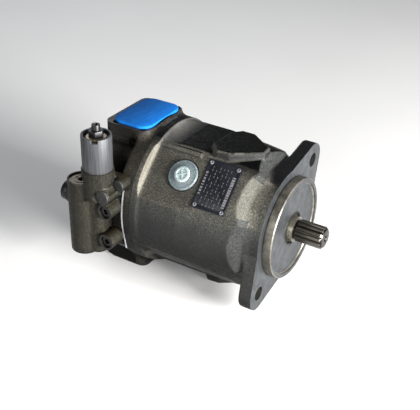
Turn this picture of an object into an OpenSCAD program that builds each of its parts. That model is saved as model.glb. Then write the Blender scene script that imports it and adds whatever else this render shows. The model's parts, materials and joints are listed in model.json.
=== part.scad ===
// Axial piston pump: swashplate design, two-bolt flange, pressure control valve on the side.
// Row frame: origin at the centre of the mounting flange's front face, +X along the shaft to its
// splined end, +Z towards the suction port, -Y towards the control valve.

/* [Mounting flange] */
// Diameter of the pilot that centres the pump
pilot_d = 100; // [96:0.5:102]
// Height of the pilot above the flange face
pilot_h = 9.5; // [8:0.5:11]
// Distance between the two bolt holes
bolt_spacing = 140; // [138:1:144]
// Diameter of each bolt hole
bolt_hole_d = 14; // [11:0.5:15]
// Thickness of the flange ears
ear_t = 13; // [11:0.5:15]

/* [Housing] */
// Radius of the round casting
body_r = 75.5; // [75:0.5:78]
// Distance from the shaft axis to the cast flats
flat_w = 68; // [67:0.5:69]
// Length from the flange face back to the port plate
housing_len = 131; // [130.5:0.5:132]
// Height of the bosses above and below the shaft axis
boss_z = 74.5; // [74:0.5:77]

/* [Port plate] */
// Length from the flange face to the rear of the port plate
rear_len = 195; // [192:1:198]
// Height of the two port faces above and below the shaft axis
port_z = 74.5; // [73:0.5:76]
// Distance of the port centres behind the flange face
port_x = 160; // [159:0.5:161]
// Bore of the suction port
suction_d = 32; // [28:1:34]
// Bore of the pressure port
pressure_d = 19; // [16:1:22]

/* [Drive shaft] */
// Number of spline teeth
spline_teeth = 13; // [9:1:16]
// Outer diameter of the spline
spline_d = 21.8; // [20:0.1:22]
// Distance of the shaft end in front of the flange face
shaft_end = 41; // [38:0.5:45]

/* [Rotating group] */
// Number of pistons
piston_n = 9; // [7:1:9]
// Diameter of each piston
piston_d = 16; // [13:0.5:16]
// Radius of the circle that the pistons stand on
pitch_r = 31; // [30.5:0.5:31.5]
// Radial running clearance of pistons and spools
run_gap = 0.03; // [0.01:0.01:0.08]

/* [Hidden] */

$fn = 72;
e = 0.01;                       // overshoot that keeps cuts open

// Housing cavity and seats
ear_r = 16.8;                   // radius of the ear tips
disc_r = 58;                    // radius of the round flange
face_recess_r = 43;             // shallow recess in the pilot's face
face_recess = 1.2;
cavity_r = 48;                  // round bore that the cylinder block turns in
cavity_x1 = -34;                // where it ends, in front of the swashplate
seal_r = 17.5;                  // outer radius of the shaft seal
seal_x0 = -1;                   // rear of the seal's bore
bearing_r = 26;                 // outer radius of the front bearing
bearing_x0 = -19;               // rear and front of the front bearing
bearing_x1 = -3;
side_y = 54;                    // distance of the two tilt pistons from the shaft axis
side_pocket_r = 10.4;           // pockets in the casting for them
chamfer_x = -26;                // where the cast front chamfers begin
chamfer_ang = 40;
band_x = -125;                  // front of the round band at the casting's rear
taper_x = -79;                  // where the casting starts to taper towards the flange
top_flat_z = 70;                // flats above and below the shaft, which the two bosses stand on
ramp_l = 13;                    // length of the ramp from them up to the band
gasket_t = 0.6;
drain_x = -87.3;                 // drain ports, on two opposite flats
drain_v = 2;
drain_r = 8.25;
drain_face_r = 16;
plate_x = -50.5;                // nameplate
plate_v = 0.6;
plate_l = 34.6;
plate_w = 48.6;

// Port plate
split_x = -housing_len;
band_rear_x = -146;             // rear of its round flange
block_x = -162.5;               // port block: its centre, its length along X and its width in Y
block_l = 49;
block_w = 70;
low_block_w = 86;               // below the shaft axis
mid_w = 92;                     // body behind the flange, across Y and along Z
mid_h = 116;
screw_pos = [36, 47];           // its four screws, either side of the shaft in Y and Z
screw_r = 5;
head_r = 8;
head_h = 10;
suction_bolts = [30.2, 58.7];   // standard four-bolt patterns of the two ports, in X and Y
pressure_bolts = [22.2, 47.6];
tap_r = 4.25;                   // tapping drill of their threads
tap_depth = 18;
port_depth = 50;
gauge_pos = [[-152, -block_w / 2, 62], [-152, -mid_w / 2, 42]]; // gauge ports: x, y, z

// Swashplate and its cradle
pivot_x = -60;                  // the tilt axis, where the piston balls' plane crosses the shaft
cradle_r = 32;                  // back of the swashplate, about the tilt axis
shell_t = 2;                    // thickness of the cradle bearing shells
face_off = 9;                   // from the ball plane to the running face
face_x = pivot_x + face_off;
rail_z0 = 18;                   // the two cradle rails, on either side of the shaft
rail_z1 = 38;

// Rotating group
block_r = 42;
block_x1 = -72;                 // front and rear of the cylinder block
block_x0 = -126;
bore_end = -119;                // bottom of the piston bores
piston_x0 = -108.5;             // rear end of the pistons
shaft_r = 12.5;                 // shaft through the bearings and the block
rear_shaft_r = 10;
spring_bore_r = 17.5;
spring_x0 = -101;               // the block's own spring, between two rings
spring_x1 = -80;
ball_r = 16;                    // guide ball in the retaining plate
slipper_r = 10;
kidney_w = 8;                   // width of the kidney ports
kidney_half = 58;               // half of the angle that each one spans

// Tapered front bearing: the rollers' axes and both races meet at one point of the shaft axis
taper_ang = 12;
roller_pitch = 19.5;
roller_mid_r = 2.9;
roller_n = 20;
roller_l = 11;
bearing_gap = 0.1;
taper_mid_x = (bearing_x0 + bearing_x1) / 2;
taper_len = roller_pitch / sin(taper_ang);
apex_x = taper_mid_x + taper_len * cos(taper_ang);
taper_half = atan(roller_mid_r / taper_len);
// Needle bearing at the rear
needle_r = 1.5;
needle_n = 26;
needle_pitch = 14.1;
needle_x0 = -151;
needle_x1 = -135;
needle_ring_r = 18;

// Control valve
pad_x0 = -190;                  // machined pad that the valve stands on
pad_x1 = -137.5;
pad_z0 = -38;
pad_z1 = 25;
pad_y = -67;
valve_gap = 1;                  // thickness of the seal plate under the valve
body_face_y = pad_y - valve_gap;
cap_x = -161;                   // spring cap and spool
cap_y = -80;
cap_z0 = 50;
cap_z1 = 85;
cap_r = 14.5;
side_cyl_x = -177.5;            // plain cylinder beside it
side_cyl_y = -84;
side_cyl_r = 14.2;
side_cyl_z0 = -43;
side_cyl_z1 = 36;
spool_r = 5;
spool_bore_r = 11.6;            // spring chamber in the body and the cap
valve_screw_x = -147.5;
valve_screw_z = [10, -23.5];
valve_screw_y = -90;                // front of their bosses, where the heads are sunk
valve_seat_y = -82;              // and the seats under the heads
plug_a = [-149.5, 26, -91];       // two plugged galleries: x, z and the plug's face in y
plug_b = [-140.5, 35, -77];
end_plug_z = 16;
spool_z0 = -30;                 // lower end of the spool and its bore

function vw(v, w) = [(v - w) / sqrt(2), (v + w) / sqrt(2)];
function arc(r, a0, a1, n) = [for (i = [0:n]) r * [cos(a0 + (a1 - a0) * i / n), sin(a0 + (a1 - a0) * i / n)]];

// Cylinder or ring along X from x0 to x1
module rod(x0, x1, r) { translate([x0, 0, 0]) rotate([0, 90, 0]) cylinder(h = x1 - x0, r = r); }
module cone(x0, x1, r0, r1) { translate([x0, 0, 0]) rotate([0, 90, 0]) cylinder(h = x1 - x0, r1 = r0, r2 = r1); }
module tube(x0, x1, r, ri) { difference() { rod(x0, x1, r); rod(x0 - e, x1 + e, ri); } }
// Solid of revolution about the shaft axis, from points [radius, x]
module turned(pts) { rotate([90, 0, 90]) rotate_extrude() polygon(pts); }
// An outline in Y and Z, extruded along X
module slab(x0, x1) { translate([x0, 0, 0]) rotate([90, 0, 90]) linear_extrude(x1 - x0) children(); }
// Rectangle with round corners, about its centre
module round_rect(x, y, r) {
    square([x - 2 * r, y], center = true);
    square([x, y - 2 * r], center = true);
    for (sx = [-1, 1], sy = [-1, 1]) translate([sx * (x / 2 - r), sy * (y / 2 - r)]) circle(r);
}
// Places children on the face whose normal is w, at distance w from the shaft and v along it
module on_flat(x, v, w, ang = 45) { rotate([ang, 0, 0]) translate([x, v, w]) children(); }
// Coil spring along Z: n turns of round wire, as one swept tube
module coil(r, wire, h, turns, seg = 14, sides = 8) {
    n = turns * seg;
    pts = [for (i = [0:n], j = [0:sides - 1])
        let (a = 360 * i / seg, q = 360 * j / sides, rr = r + wire * cos(q))
        [rr * cos(a), rr * sin(a), wire + (h - 2 * wire) * i / n + wire * sin(q)]];
    walls = [for (i = [0:n - 1], j = [0:sides - 1])
        let (k = (j + 1) % sides) [i * sides + j, (i + 1) * sides + j, (i + 1) * sides + k, i * sides + k]];
    ends = [[for (j = [0:sides - 1]) j], [for (j = [sides - 1:-1:0]) n * sides + j]];
    polyhedron(pts, concat(walls, ends), convexity = 6);
}
module hex_socket(r, depth) { translate([0, 0, -depth]) cylinder(h = depth + e, r = r, $fn = 6); }

// ---- housing -------------------------------------------------------------------------------
// Outline of a flange disc with one tapered ear towards +Y
module ear(r1, r2, d) {
    a = acos((r1 - r2) / d);
    ri = r2 - 0.02;             // the straight sides end just inside the tip
    polygon([r1 * [cos(a), sin(a)], [d + ri * cos(a), ri * sin(a)], [d + ri * cos(a), -ri * sin(a)],
             r1 * [cos(a), -sin(a)], [0, 0]]);
    translate([d, 0]) circle(r2);
}
module body_outline() {
    intersection() {
        circle(body_r - 1);     // the band at the rear stands a little proud
        rotate(45) square(2 * flat_w, center = true);
    }
}
module boss_outline() {
    polygon([[-75, -16], [-64, -28], [-51, -27], [-32, -14], [-24, -7], [-25, 6], [-34, 12], [-50, 24],
             [-64, 24], [-73, 14]]);
}
module nameplate_corners() {
    on_flat(plate_x, plate_v, flat_w) for (sx = [-1, 1], sv = [-1, 1])
        translate([sx * (plate_l / 2 - 3.2), sv * (plate_w / 2 - 3.2), 0]) children();
}
module at_screws() { for (sy = [-1, 1], sz = [-1, 1]) translate([0, sy * screw_pos[0], sz * screw_pos[1]]) children(); }
module side_bores(x0, x1, r) { for (s = [-1, 1]) translate([0, s * side_y, 0]) rod(x0, x1, r); }

module housing() {
    color([0.27, 0.26, 0.25])
    difference() {
        union() {
            // flange with two ears, and the pilot
            slab(-ear_t, 0) {
                circle(disc_r);
                for (a = [45, 225]) rotate(a) ear(disc_r - 2, ear_r, bolt_spacing / 2);
            }
            rod(-e, pilot_h, pilot_d / 2);
            // casting with its flats, front chamfers, rear band and two bosses
            difference() {
                intersection() {
                    slab(band_x - e, -ear_t + e) body_outline();
                    union() { rod(band_x - 1, taper_x, body_r); cone(taper_x - e, 0, body_r - 1, body_r - 10); }
                }
                for (a = [0:45:315]) rotate([a, 0, 0]) translate([chamfer_x, 0, flat_w])
                    rotate([0, chamfer_ang, 0]) translate([0, -60, 0]) cube([40, 120, 40]);
                for (s = [0, 1]) mirror([0, 0, s]) translate([0, 60, 0]) rotate([90, 0, 0]) linear_extrude(120)
                    polygon([[band_x, body_r - 0.5], [band_x + ramp_l, top_flat_z], [5, top_flat_z], [5, 90], [band_x, 90]]);
            }
            rod(split_x + gasket_t, band_x, body_r);
            translate([0, 0, 52]) linear_extrude(boss_z - 52) boss_outline();
            translate([-5, 0, -boss_z - 1]) linear_extrude(24) boss_outline();
            // cast lip along the nameplate's flat
            on_flat(band_x, 22.5, flat_w - 1) cube([48, 4.5, 2.4]);
        }
        // recess in the pilot's face, seal and bearing seats
        rod(pilot_h - face_recess, pilot_h + e, face_recess_r);
        rod(seal_x0, pilot_h + e, seal_r);
        rod(bearing_x1 - e, seal_x0 + e, 15);
        rod(bearing_x0 - 12.5, bearing_x1, bearing_r);
        // cavity, and pockets for the two tilt pistons and the swashplate's arms
        rod(split_x - e, cavity_x1, cavity_r);
        side_bores(split_x - e, -31, side_pocket_r);
        translate([-70, -side_y, -side_pocket_r]) cube([39, 2 * side_y, 2 * side_pocket_r]);
        // cradle seat
        translate([pivot_x, 0, -rail_z1 - 1]) cylinder(h = 2 * rail_z1 + 2, r = cradle_r + shell_t);
        // bolt holes in the ears, drain ports in the flats
        for (s = [-1, 1]) rotate([45, 0, 0]) translate([0, s * bolt_spacing / 2, 0])
            rod(-ear_t - e, e, bolt_hole_d / 2);
        for (a = [45, 225]) {
            on_flat(drain_x, drain_v, 40, a) cylinder(h = 40, r = drain_r);
            on_flat(drain_x, drain_v, flat_w - 1.2, a) cylinder(h = 10, r = drain_face_r);
        }
        at_screws() rod(split_x - e, split_x + 20, screw_r + 0.05);
        nameplate_corners() cylinder(h = 8, r = 1.25, center = true);
        valve_clearance();
    }
}

// ---- port plate ----------------------------------------------------------------------------
// The round flanges are cut back beside the valve's pad
module valve_clearance() {
    translate([band_rear_x - e, pad_y - 20, pad_z0 - 4]) cube([band_x - band_rear_x + 1, 20, pad_z1 - pad_z0 + 13.5]);
}
// Half circle of points at one end of a kidney port, at angle a, from angle start on
function round_end(a, start) = [for (i = [1:7])
    pitch_r * [cos(a), sin(a)] + kidney_w / 2 * [cos(start + 180 * i / 8), sin(start + 180 * i / 8)]];
module kidney(x0, x1, z_side) {
    slab(x0, x1) rotate(z_side * 90) polygon(concat(
        arc(pitch_r + kidney_w / 2, -kidney_half, kidney_half, 24), round_end(kidney_half, kidney_half),
        arc(pitch_r - kidney_w / 2, kidney_half, -kidney_half, 24), round_end(-kidney_half, 180 - kidney_half)));
}
module port_holes(bolts, bore_r) {
    translate([-port_x, 0, port_z - port_depth]) cylinder(h = port_depth + e, r = bore_r);
    translate([-port_x, 0, port_z - 4]) cylinder(h = 4 + e, r = bore_r + 3.5);
    for (sx = [-1, 1], sy = [-1, 1])
        translate([-port_x + sx * bolts[0] / 2, sy * bolts[1] / 2, port_z - tap_depth])
            cylinder(h = tap_depth + e, r = tap_r);
}
module port_plate() {
    color([0.2, 0.19, 0.17])
    difference() {
        union() {
            rod(band_rear_x, split_x, body_r);
            translate([block_x, 0, 0]) linear_extrude(port_z + 1) round_rect(block_l, block_w, 8);
            translate([block_x, 0, -port_z - 1]) linear_extrude(port_z + 1) round_rect(block_l, low_block_w, 8);
            slab(-rear_len, band_rear_x + e) round_rect(mid_w, mid_h, 10);
            translate([pad_x0, pad_y, pad_z0]) cube([pad_x1 - pad_x0, 30, pad_z1 - pad_z0]);
        }
        valve_clearance();
        // both port faces, milled across the round flange's edge
        for (s = [0, 1]) mirror([0, 0, s]) translate([-rear_len - 5, -60, port_z]) cube([rear_len + 5 - 136, 120, 10]);
        // port bores with their tapped holes, and the kidneys that lead to them
        port_holes(suction_bolts, suction_d / 2);
        mirror([0, 0, 1]) port_holes(pressure_bolts, pressure_d / 2);
        kidney(-150, split_x + e, 1);
        kidney(-156, split_x + e, -1);
        // rear bearing seat, tilt piston seats and screw holes
        rod(needle_x0 - 1, split_x + e, needle_ring_r);
        side_bores(split_x - 6, split_x + e, 10.05);
        translate([0, side_y, 0]) rod(split_x - 9, split_x, 5);
        at_screws() { rod(-rear_len - e, split_x + e, screw_r + 0.3); rod(-rear_len - e, -rear_len + head_h, head_r + 0.5); }
        // locating pin, valve screws and gauge ports
        translate([0, block_r - 3, 0]) rod(split_x - 6, split_x + e, 2);
        for (z = valve_screw_z) translate([valve_screw_x, pad_y + 14, z]) rotate([90, 0, 0]) cylinder(h = 20, r = 3.05);
        for (g = gauge_pos) translate([g[0], g[1] + 12, g[2]]) rotate([90, 0, 0]) cylinder(h = 20, r = 5.05);
    }
}

module housing_screws() {
    color([0.12, 0.12, 0.13]) at_screws() difference() {
        union() { rod(-rear_len + head_h, split_x + 18, screw_r); rod(-rear_len + 0.5, -rear_len + head_h, head_r); }
        translate([-rear_len + 0.5, 0, 0]) rotate([0, -90, 0]) hex_socket(4.6, 6);
    }
}
module port_plate_gasket() {
    color([0.1, 0.1, 0.1]) difference() {
        rod(split_x, split_x + gasket_t, body_r - 0.5);
        rod(split_x - e, split_x + gasket_t + e, cavity_r);
        side_bores(split_x - e, split_x + gasket_t + e, side_pocket_r);
        at_screws() rod(split_x - e, split_x + gasket_t + e, screw_r + 0.3);
        valve_clearance();
    }
}

// ---- shaft, seal and bearings --------------------------------------------------------------
module shaft_seal() {
    color([0.05, 0.05, 0.05])
    turned([[shaft_r + 0.05, -0.8], [seal_r, -0.8], [seal_r, 5.5], [16, 5.5], [14.6, 3.4], [13.6, 5.9],
            [shaft_r + 0.05, 5.2]]);
}
module seal_retaining_ring() {
    color([0.15, 0.15, 0.15]) difference() {
        tube(5.6, 7.1, seal_r, 15.6);
        translate([5, -2.5, -20]) cube([3, 5, 8]);
    }
}
module front_bearing_outer() {
    color([0.62, 0.62, 0.6])
    turned([[race(bearing_x0, 1), bearing_x0], [bearing_r, bearing_x0], [bearing_r, bearing_x1], [race(bearing_x1, 1), bearing_x1]]);
}
// Radius of the inner (-1) or outer (1) race at x
function race(x, side) = (apex_x - x) * tan(taper_ang + side * taper_half) + side * bearing_gap;
module front_bearing_inner() {
    color([0.66, 0.66, 0.64])
    turned([[shaft_r, bearing_x0], [race(bearing_x0, -1), bearing_x0], [race(bearing_x1, -1), bearing_x1], [shaft_r, bearing_x1]]);
}
module front_bearing_rollers() {
    color([0.8, 0.8, 0.8])
    for (i = [0:roller_n - 1]) rotate([360 * i / roller_n, 0, 0]) translate([apex_x, 0, 0])
        rotate([0, -90 + taper_ang, 0]) translate([0, 0, taper_len - roller_l / 2])
            cylinder(h = roller_l, r1 = (taper_len - roller_l / 2) * tan(taper_half),
                     r2 = (taper_len + roller_l / 2) * tan(taper_half), $fn = 32);
}
module rear_bearing_outer() { color([0.62, 0.62, 0.6]) tube(needle_x0, needle_x1, needle_ring_r, needle_pitch + needle_r + 0.06); }
module rear_bearing_inner() { color([0.66, 0.66, 0.64]) tube(needle_x0, needle_x1, needle_pitch - needle_r - 0.06, rear_shaft_r); }
module rear_bearing_rollers() {
    color([0.8, 0.8, 0.8])
    for (i = [0:needle_n - 1]) rotate([360 * i / needle_n, 0, 0]) translate([0, needle_pitch, 0])
        rod(needle_x0 + 1, needle_x1 - 1, needle_r, $fn = 24);
}
module spline_outline() {
    root = spline_d / 2 - 1.4;
    circle(root);
    for (i = [0:spline_teeth - 1]) rotate(360 * i / spline_teeth)
        polygon([[root - 1, -1.7], [root, -1.7], [spline_d / 2, -0.95], [spline_d / 2, 0.95], [root, 1.7], [root - 1, 1.7]]);
}
module drive_shaft() {
    color([0.5, 0.48, 0.45]) {
        rod(-124, 11.5, shaft_r);
        rod(needle_x0 - 0.5, -124 + e, rear_shaft_r);
        rod(11.5 - e, 14, spline_d / 2 - 1.4);
        difference() {
            slab(14 - e, shaft_end) spline_outline();
            turned([[spline_d / 2 - 2.2, shaft_end + e], [spline_d / 2 + 1, shaft_end + e], [spline_d / 2 + 1, shaft_end - 3.2]]);
            cone(shaft_end - 5, shaft_end + e, 0, 3.2);
        }
    }
}
module shaft_retaining_ring() { color([0.2, 0.2, 0.2]) tube(bearing_x0 - 2, bearing_x0 - 0.1, shaft_r + 2, shaft_r); }

// ---- rotating group ------------------------------------------------------------------------
module at_pistons() { for (i = [0:piston_n - 1]) rotate([360 * i / piston_n, 0, 0]) translate([0, 0, pitch_r]) children(); }
module cylinder_block() {
    color([0.55, 0.54, 0.5]) difference() {
        rod(block_x0, block_x1, block_r);
        rod(block_x0 - e, block_x1 + e, shaft_r + 0.02);
        rod(spring_x0 - 3, block_x1 + e, spring_bore_r);
        rod(block_x0 - e, block_x0 + 5, 24);
        at_pistons() { rod(bore_end, block_x1 + e, piston_d / 2 + run_gap); rod(block_x0 - e, bore_end + e, 4); }
    }
}
module pistons() {
    color([0.72, 0.72, 0.7]) at_pistons() difference() {
        union() {
            rod(piston_x0, pivot_x - 8, piston_d / 2);
            rod(pivot_x - 8 - e, pivot_x, 4);
            translate([pivot_x, 0, 0]) sphere(r = 6);
        }
        rod(piston_x0 - e, pivot_x - 16, 4);
    }
}
module slippers() {
    socket_r = 6.05;
    lip = asin(4 / socket_r);   // the socket closes past the ball's centre
    color([0.7, 0.55, 0.25]) at_pistons() turned(concat(
        [[slipper_r, face_x - 0.02], [slipper_r, face_x - 3], [7.5, face_x - 3], [7.5, pivot_x - 4]],
        [for (i = [0:12]) let (q = -lip + (82 + lip) * i / 12) [socket_r * cos(q), pivot_x + socket_r * sin(q)]],
        [[socket_r * cos(82), face_x - 1], [7, face_x - 1], [7, face_x - 0.02]]));
}
module retaining_plate() {
    color([0.45, 0.45, 0.45]) difference() {
        tube(face_x - 6.2, face_x - 3.2, 41, ball_r + 0.4);
        at_pistons() rod(face_x - 8, face_x - 2, 8);
    }
}
module guide_ball() {
    color([0.6, 0.6, 0.58]) difference() {
        union() {
            intersection() { translate([pivot_x, 0, 0]) sphere(r = ball_r); rod(pivot_x - 9, pivot_x + 8, 20); }
            rod(spring_x1 + 2, pivot_x - 8, 15.5);
        }
        rod(-100, -40, shaft_r + 0.05);
    }
}
module block_spring() {
    color([0.35, 0.35, 0.38]) translate([spring_x0, 0, 0]) rotate([0, 90, 0]) coil(15.1, 1.3, spring_x1 - spring_x0, 4.5, 20);
}
module spring_rings() {
    color([0.5, 0.5, 0.5]) for (x = [spring_x0 - 3, spring_x1]) tube(x, x + (x == spring_x1 ? 2 : 3), spring_bore_r - 0.3, shaft_r + 0.3);
}
module valve_plate() {
    color([0.75, 0.6, 0.3]) difference() {
        tube(split_x, block_x0 - 0.02, block_r, 20);
        for (s = [-1, 1]) kidney(split_x - 1, block_x0 + 1, s);
        translate([0, block_r - 3, 0]) rod(split_x - e, block_x0 + 1, 2.05);
    }
}
module valve_plate_pin() { color([0.6, 0.6, 0.6]) translate([0, block_r - 3, 0]) rod(split_x - 6, split_x + 3, 2); }

// ---- swashplate and its two pistons --------------------------------------------------------
module swashplate() {
    color([0.5, 0.5, 0.52]) difference() {
        union() {
            rod(face_x, face_x + 5, 42);
            for (s = [0, 1]) mirror([0, 0, s]) intersection() {
                translate([pivot_x, 0, rail_z0]) cylinder(h = rail_z1 - rail_z0, r = cradle_r - 0.03);
                translate([face_x, -40, 0]) cube([40, 80, 50]);
            }
            for (s = [-1, 1]) translate([face_x, s > 0 ? 36 : -59, -6]) cube([5, 23, 12]);
        }
        // room for the shaft over the whole tilt
        translate([0, 0, -14.5]) linear_extrude(29)
            polygon([[face_x - 1, -17], [face_x + 2, -17], [-27, -22], [-27, 22], [face_x + 2, 17], [face_x - 1, 17]]);
    }
}
module cradle_bearings() {
    color([0.65, 0.5, 0.3]) for (s = [0, 1]) mirror([0, 0, s]) translate([pivot_x, 0, rail_z0 + 1])
        linear_extrude(rail_z1 - rail_z0 - 2)
            polygon(concat(arc(cradle_r + shell_t, -38, 38, 24), arc(cradle_r + 0.03, 38, -38, 24)));
}
module control_cylinder() { color([0.5, 0.5, 0.5]) translate([0, -side_y, 0]) tube(split_x - 6, -90, 10, 7 + run_gap); }
module ball_end(x_tip, r) { translate([x_tip - r, 0, 0]) sphere(r = r); }
module control_piston() {
    color([0.68, 0.68, 0.7]) translate([0, -side_y, 0]) { rod(-112, -86, 7); rod(-86 - e, face_x - 5.4, 4); ball_end(face_x - 0.4, 5); }
}
module bias_spring_guide() {
    color([0.5, 0.5, 0.5]) translate([0, side_y, 0]) difference() {
        union() { rod(split_x - 6, split_x - 1, 10); rod(split_x - 1 - e, -98, 5.6); }
        rod(split_x - 7, -97, 4 + run_gap);
    }
}
module bias_piston() {
    color([0.68, 0.68, 0.7]) translate([0, side_y, 0]) { rod(-134, face_x - 5.4, 4); ball_end(face_x - 0.4, 5); rod(-76, -73, 9.4); }
}
module bias_spring() {
    color([0.35, 0.35, 0.38]) translate([split_x - 1, side_y, 0]) rotate([0, 90, 0]) coil(7.7, 1.3, -76 - (split_x - 1), 8);
}

// ---- control valve -------------------------------------------------------------------------
// Cylinder along Y from y0 to y1, about x and z
module boss_y(x, z, y0, y1, r) { translate([x, y1, z]) rotate([90, 0, 0]) cylinder(h = y1 - y0, r = r); }
module post(x, y, z0, z1, r) { translate([x, y, z0]) cylinder(h = z1 - z0, r = r); }
module end_plug_axis() { translate([side_cyl_x - 14.4, side_cyl_y + 2, end_plug_z]) rotate([0, 90, 0]) children(); }
module control_valve_body() {
    color([0.33, 0.32, 0.28]) difference() {
        union() {
            post(side_cyl_x, side_cyl_y, side_cyl_z0, side_cyl_z1, side_cyl_r);
            post(cap_x, cap_y, 20, cap_z0, cap_r + 1.2);
            post(cap_x - 2.5, cap_y - 0.5, side_cyl_z0 + 2, 21, 9.5);
            translate([side_cyl_x, body_face_y - 16, -36]) cube([22, 16, 70]);
            translate([side_cyl_x - 8, body_face_y - 6, pad_z0 + 2]) cube([44, 6, pad_z1 - pad_z0 - 4]);
            for (z = valve_screw_z) boss_y(valve_screw_x, z, valve_screw_y, body_face_y, 8.2);
            boss_y(plug_a[0], plug_a[1], plug_a[2] + 1, body_face_y, 8.2);
            boss_y(plug_b[0], plug_b[1], plug_b[2] + 1, body_face_y, 6.6);
            translate([cap_x, body_face_y - 8, 14]) cube([20, 8, 28]);
            end_plug_axis() cylinder(h = 10, r = 11);
        }
        post(cap_x, cap_y, spool_z0 - 4, cap_z0 + e, spool_r + run_gap);
        post(cap_x, cap_y, cap_z0 - 8, cap_z0 + e, spool_bore_r);
        post(side_cyl_x, side_cyl_y, side_cyl_z1 - 3, side_cyl_z1 + e, 12.4);
        post(side_cyl_x, side_cyl_y, side_cyl_z1 - 14, side_cyl_z1 + e, 8.05);
        for (z = valve_screw_z) {
            boss_y(valve_screw_x, z, valve_screw_y - e, body_face_y + e, 3.3);
            boss_y(valve_screw_x, z, valve_screw_y - e, valve_seat_y, 6.4);
        }
        boss_y(plug_a[0], plug_a[1], plug_a[2] - 1, plug_a[2] + 7, 6.05);
        boss_y(plug_b[0], plug_b[1], plug_b[2] - 1, plug_b[2] + 5, 4.55);
        // spot faces under the plugs' heads
        boss_y(plug_a[0], plug_a[1], plug_a[2] - 12, plug_a[2] + 1, 7.45);
        boss_y(plug_b[0], plug_b[1], plug_b[2] - 12, plug_b[2] + 1, 5.95);
        // machined face that stands on the pad
        translate([side_cyl_x - 20, body_face_y, pad_z0]) cube([60, 10, pad_z1 - pad_z0 + 4]);
        end_plug_axis() translate([0, 0, -e]) cylinder(h = 7, r = 7.05);
    }
}
module valve_seal() {
    color([0.1, 0.1, 0.1]) difference() {
        translate([side_cyl_x - 8, body_face_y, pad_z0 + 2]) cube([44, valve_gap, pad_z1 - pad_z0 - 4]);
        for (z = valve_screw_z) boss_y(valve_screw_x, z, body_face_y - e, pad_y + e, 3.3);
    }
}
module valve_screws() {
    color([0.06, 0.06, 0.07]) for (z = valve_screw_z) difference() {
        union() {
            boss_y(valve_screw_x, z, valve_seat_y - 6.1, valve_seat_y - 0.1, 6);
            boss_y(valve_screw_x, z, valve_seat_y - 0.2, pad_y + 13, 3);
        }
        translate([valve_screw_x, valve_seat_y - 6.1, z]) rotate([90, 0, 0]) hex_socket(3, 3.5);
    }
}
module valve_spool() {
    color([0.7, 0.7, 0.72]) {
        post(cap_x, cap_y, spool_z0, cap_z0 - 6, spool_r - 2);
        for (z = [spool_z0, -10, 16]) post(cap_x, cap_y, z, z + 12, spool_r);
        post(cap_x, cap_y, cap_z0 - 14, cap_z0 - 6, spool_r);
        post(cap_x, cap_y, cap_z0 - 6 - e, cap_z0 - 4, 10.5);
    }
}
module valve_spring() {
    color([0.3, 0.3, 0.33]) translate([cap_x, cap_y, cap_z0 - 4]) coil(8.4, 1.3, cap_z1 - 16 - (cap_z0 - 4), 6);
}
module valve_spring_seat() {
    color([0.6, 0.6, 0.6]) { post(cap_x, cap_y, cap_z1 - 16, cap_z1 - 13, 11); post(cap_x, cap_y, cap_z1 - 18, cap_z1 - 16 + e, 6.4); }
}
module spring_cap() {
    color([0.72, 0.72, 0.74]) difference() {
        post(cap_x, cap_y, cap_z0, cap_z1, cap_r);
        post(cap_x, cap_y, cap_z0 - e, cap_z1 - 9, spool_bore_r);
        post(cap_x, cap_y, cap_z1 - 3.5, cap_z1 + e, cap_r - 2);
        post(cap_x, cap_y, cap_z1 - 10, cap_z1, 4.05);
        translate([cap_x + 4, cap_y - cap_r - 2, cap_z1 - 3.5]) cube([6, 8, 5]);
    }
}
module seal_washer() { color([0.5, 0.42, 0.3]) difference() { post(cap_x, cap_y, cap_z1 - 3.5, cap_z1 - 1.9, 9.5); post(cap_x, cap_y, cap_z1 - 4, cap_z1, 4.1); } }
module lock_nut() {
    color([0.12, 0.12, 0.13]) difference() {
        translate([cap_x, cap_y, cap_z1 - 1.8]) cylinder(h = 6.5, r = 7.5, $fn = 6);
        post(cap_x, cap_y, cap_z1 - 2, cap_z1 + 6, 4.05);
    }
}
module adjusting_screw() {
    color([0.08, 0.08, 0.09]) difference() {
        post(cap_x, cap_y, cap_z1 - 12.9, cap_z1 + 10, 4);
        translate([cap_x, cap_y, cap_z1 + 10]) hex_socket(2.4, 4);
    }
}
module blanking_plug() {
    color([0.4, 0.3, 0.15]) difference() {
        post(side_cyl_x, side_cyl_y, side_cyl_z1 - 13.5, side_cyl_z1 - 1.2, 8);
        translate([side_cyl_x, side_cyl_y, side_cyl_z1 - 1.2]) hex_socket(4, 5);
    }
}
module valve_side_plugs() {
    color([0.38, 0.38, 0.33]) {
        for (p = [[plug_a, 7.3, 6, 5.8], [plug_b, 5.8, 4.5, 3.8]]) difference() {
            union() {
                boss_y(p[0][0], p[0][1], p[0][2] - 0.5, p[0][2] + 1, p[1]);
                boss_y(p[0][0], p[0][1], p[0][2] + 1 - e, p[0][2] + 1 + p[3], p[2]);
            }
            translate([p[0][0], p[0][2] - 0.5, p[0][1]]) rotate([90, 0, 0]) hex_socket(2.6, 2);
        }
    }
}
module valve_end_plug() {
    color([0.25, 0.24, 0.22]) end_plug_axis() difference() {
        union() { translate([0, 0, -7]) cylinder(h = 6.9, r = 10); translate([0, 0, -0.2]) cylinder(h = 6.5, r = 7); }
        translate([0, 0, -7]) rotate([180, 0, 0]) hex_socket(3.5, 4);
    }
}
module gauge_plugs() {
    color([0.16, 0.15, 0.14]) for (g = gauge_pos) difference() {
        boss_y(g[0], g[2], g[1] + 0.6, g[1] + 10, 5);
        translate([g[0], g[1] + 0.6, g[2]]) rotate([90, 0, 0]) hex_socket(2.6, 4);
    }
}

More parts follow.
